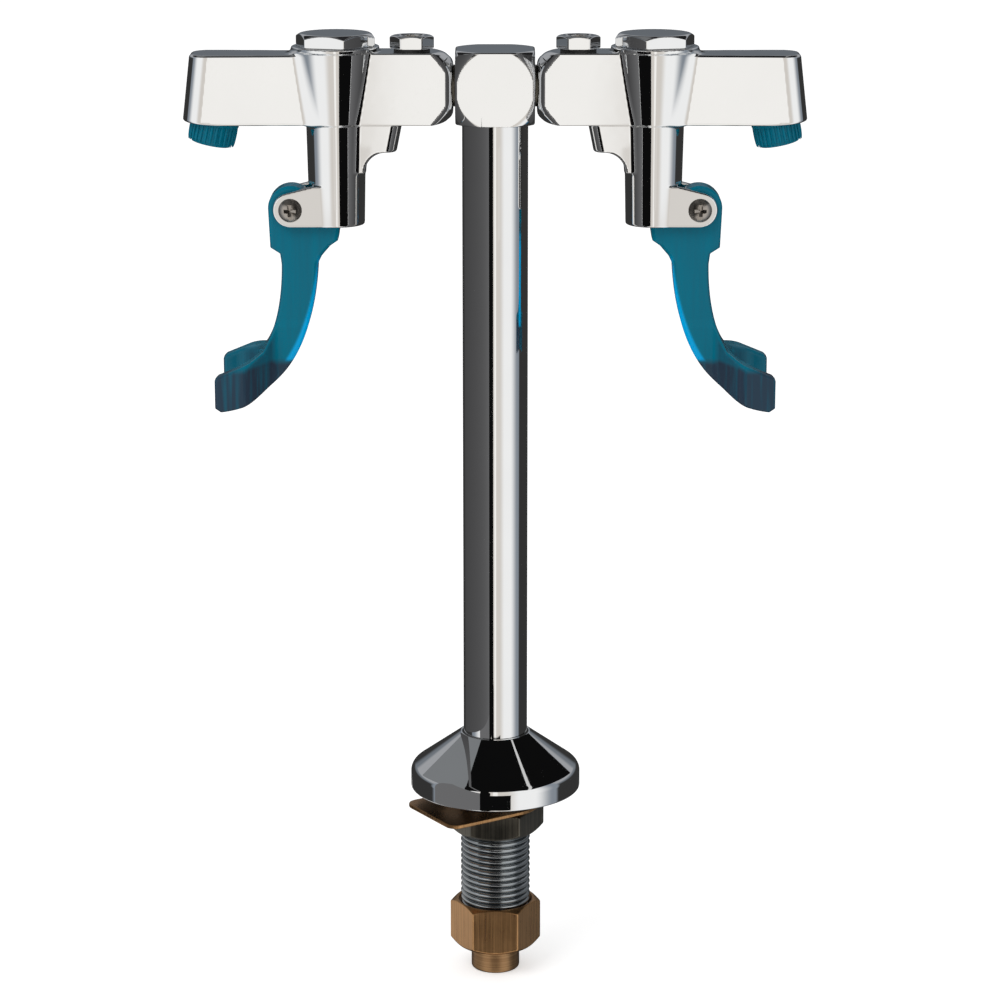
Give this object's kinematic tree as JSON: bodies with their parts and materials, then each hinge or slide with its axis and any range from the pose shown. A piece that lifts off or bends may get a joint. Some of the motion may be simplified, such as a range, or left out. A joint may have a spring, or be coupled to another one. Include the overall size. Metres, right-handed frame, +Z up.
{
  "type": "glass filler faucet",
  "caption": "Deck-mounted pedestal glass filler with two opposite self-closing arms, forked push levers, fluted outlet tips and a threaded shank.",
  "frame": {"origin": "centre of the flange's underside, on the deck plane", "axes": "+Z up the riser, the two arms along X, the front with the screw heads towards -Y"},
  "size_m": [0.179, 0.0508, 0.2848],
  "materials": {
    "chrome": "polished chrome plate",
    "brass": "machined brass",
    "raw_brass": "satin turned brass, slightly dulled",
    "dark_bronze": "dark satin plating",
    "plain_steel": "satin plated thread",
    "screw_steel": "polished stainless screw",
    "spring_steel": "bright stainless",
    "rubber": "matt black rubber",
    "teal_plastic": "glossy tinted plastic, slightly see-through"
  },
  "bodies": {
    "faucet": {"tee": "chrome", "riser": "chrome", "riser_seal": "rubber", "flange": "chrome", "deck_gasket": "rubber", "shank": "plain_steel", "coupling_nut": "raw_brass", "tail_washer": "rubber", "tailpiece": "raw_brass", "left_body": "chrome", "left_cap": "chrome", "left_cap_seal": "rubber", "left_spring": "spring_steel", "left_pivot_screw": "screw_steel", "left_packing_nut": "chrome", "left_nut_seal": "rubber", "left_outlet_tip": "teal_plastic", "left_outlet_screen": "spring_steel", "left_nipple": "brass", "right_body": "chrome", "right_cap": "chrome", "right_cap_seal": "rubber", "right_spring": "spring_steel", "right_pivot_screw": "screw_steel", "right_packing_nut": "chrome", "right_nut_seal": "rubber", "right_outlet_tip": "teal_plastic", "right_outlet_screen": "spring_steel", "right_nipple": "brass"},
    "left_valve_stem": {"left_disc_holder": "brass", "left_seat_washer": "rubber", "left_stem": "brass", "left_stem_seal": "rubber"},
    "left_lever_arm": {"left_lever": "teal_plastic"},
    "left_flow_turn": {"left_flow_screw": "brass"},
    "left_flow_slide": {"left_flow_seal": "rubber"},
    "right_valve_stem": {"right_disc_holder": "brass", "right_seat_washer": "rubber", "right_stem": "brass", "right_stem_seal": "rubber"},
    "right_lever_arm": {"right_lever": "teal_plastic"},
    "right_flow_turn": {"right_flow_screw": "brass"},
    "right_flow_slide": {"right_flow_seal": "rubber"},
    "washer_slide": {"deck_washer": "raw_brass"},
    "locknut_turn": {"locknut": "dark_bronze"}
  },
  "joints": [
    {"name": "left_lever_pivot", "type": "hinge", "parent": "faucet", "child": "left_lever_arm", "pos_m": [-0.0589, 0, 0.1762], "axis": [0, -1, 0], "range_deg": [0, 15.01]},
    {"name": "left_stem_slide", "type": "slide", "parent": "faucet", "child": "left_valve_stem", "axis": [0, 0, 1], "range_m": [0, 0.0035], "stiffness_N_per_m": 1200, "springref_m": -0.003, "deforming": ["left_spring"]},
    {"name": "left_flow_travel", "type": "slide", "parent": "faucet", "child": "left_flow_slide", "axis": [0, 0, -1], "range_m": [0, 0.003]},
    {"name": "left_flow_turn", "type": "hinge", "parent": "left_flow_slide", "child": "left_flow_turn", "pos_m": [-0.0238, 0, 0.22], "axis": [0, 0, -1], "range_deg": [0, 1080.5]},
    {"name": "right_lever_pivot", "type": "hinge", "parent": "faucet", "child": "right_lever_arm", "pos_m": [0.0589, 0, 0.1762], "axis": [0, 1, 0], "range_deg": [0, 15.01]},
    {"name": "right_stem_slide", "type": "slide", "parent": "faucet", "child": "right_valve_stem", "axis": [0, 0, 1], "range_m": [0, 0.0035], "stiffness_N_per_m": 1200, "springref_m": -0.003, "deforming": ["right_spring"]},
    {"name": "right_flow_travel", "type": "slide", "parent": "faucet", "child": "right_flow_slide", "axis": [0, 0, -1], "range_m": [0, 0.003]},
    {"name": "right_flow_turn", "type": "hinge", "parent": "right_flow_slide", "child": "right_flow_turn", "pos_m": [0.0238, 0, 0.22], "axis": [0, 0, -1], "range_deg": [0, 1080.5]},
    {"name": "washer_travel", "type": "slide", "parent": "faucet", "child": "washer_slide", "axis": [0, 0, -1], "range_m": [0, 0.02]},
    {"name": "locknut_turn", "type": "hinge", "parent": "washer_slide", "child": "locknut_turn", "pos_m": [0, 0, -0.0102], "axis": [0, 0, -1], "range_deg": [0, 3970]}
  ],
  "couplings": [
    {"joint": "left_lever_pivot", "follows": "left_stem_slide", "rad_per_m": 74.8},
    {"joint": "left_flow_turn", "follows": "left_flow_travel", "rad_per_m": 6283.2},
    {"joint": "right_lever_pivot", "follows": "right_stem_slide", "rad_per_m": 74.8},
    {"joint": "right_flow_turn", "follows": "right_flow_travel", "rad_per_m": 6283.2},
    {"joint": "locknut_turn", "follows": "washer_travel", "rad_per_m": 3463.7}
  ]
}
